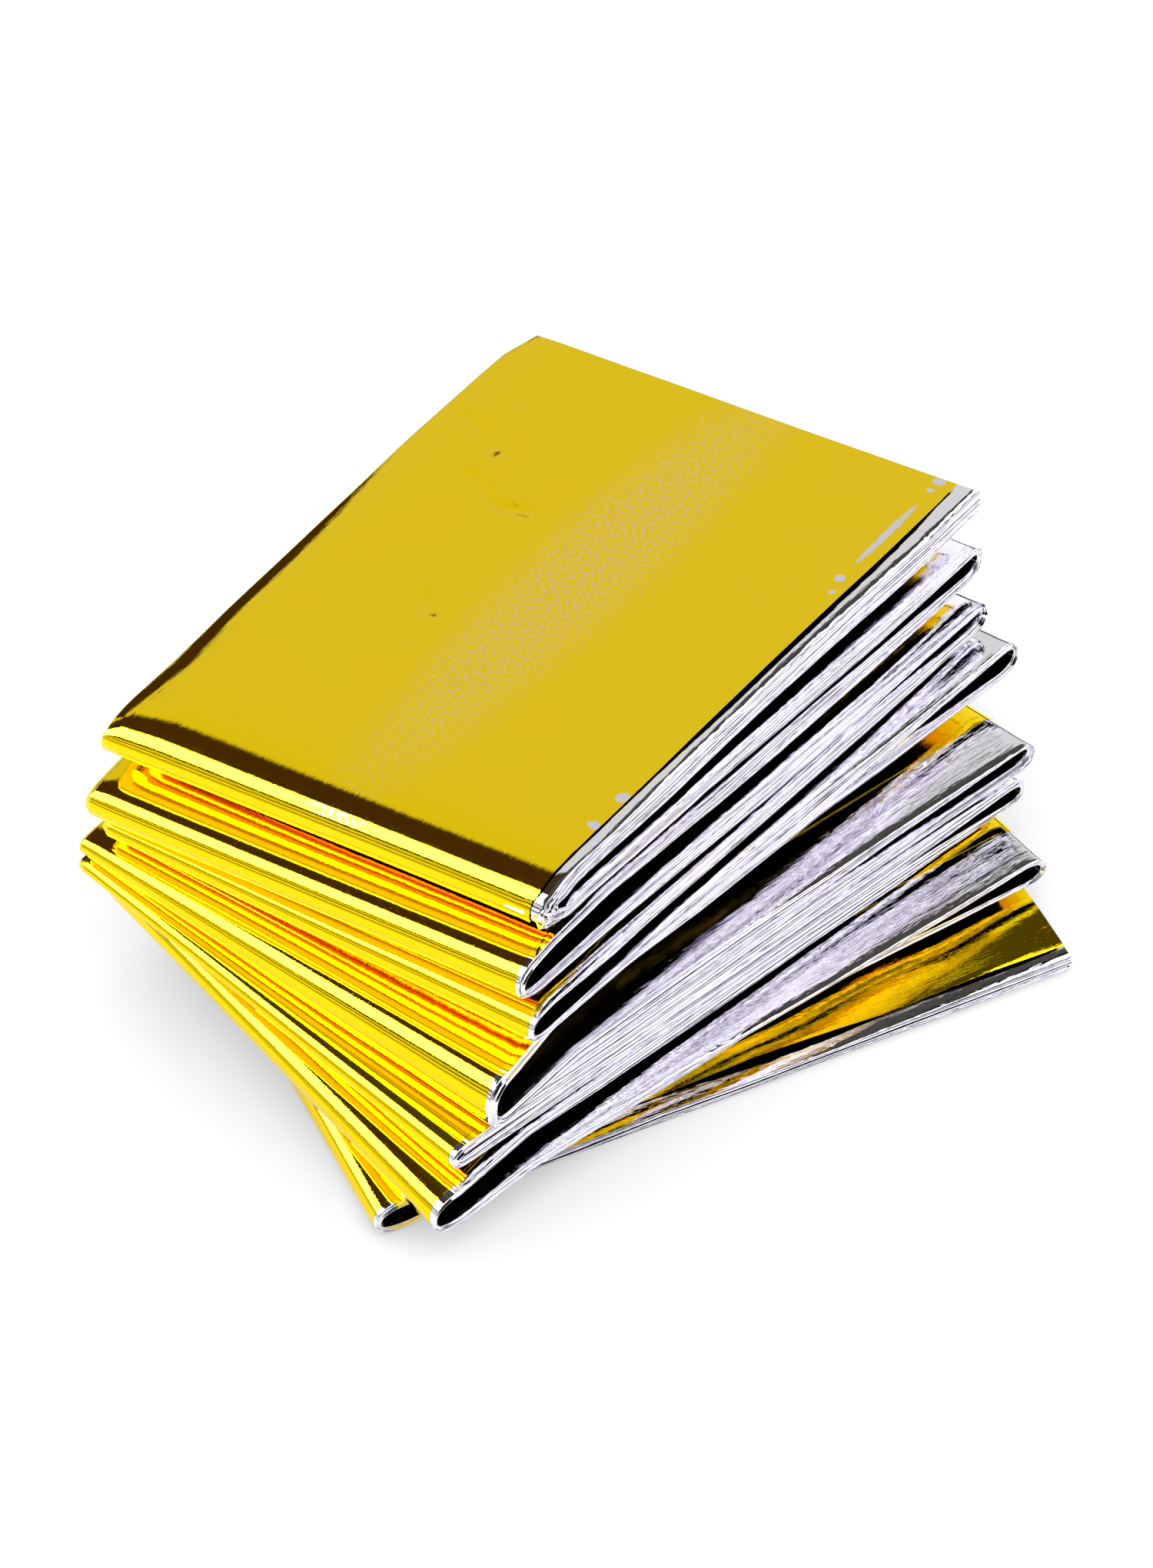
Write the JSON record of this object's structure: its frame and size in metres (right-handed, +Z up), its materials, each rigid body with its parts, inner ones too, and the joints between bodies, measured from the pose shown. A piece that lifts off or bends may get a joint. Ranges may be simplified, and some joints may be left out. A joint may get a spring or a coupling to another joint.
{
  "type": "emergency foil blanket",
  "caption": "Folded emergency foil blanket, gold outside and silver inside, its zigzag panels fanned out and lying flat on the surface.",
  "frame": {"origin": "middle of the bounding box at the underside, on the surface that the pack rests on", "axes": "+Z up; +Y along the top panel, from its front turn to its free end; +X across the folded strip, towards its silver ridged side"},
  "size_m": [0.1582, 0.1807, 0.071],
  "materials": {
    "metallised_film": "thin polyester film with a vacuum metallised layer, mirror bright, gold on the outside and silver on the inside"
  },
  "bodies": {
    "root": {"blanket": "metallised_film"}
  },
  "joints": []
}
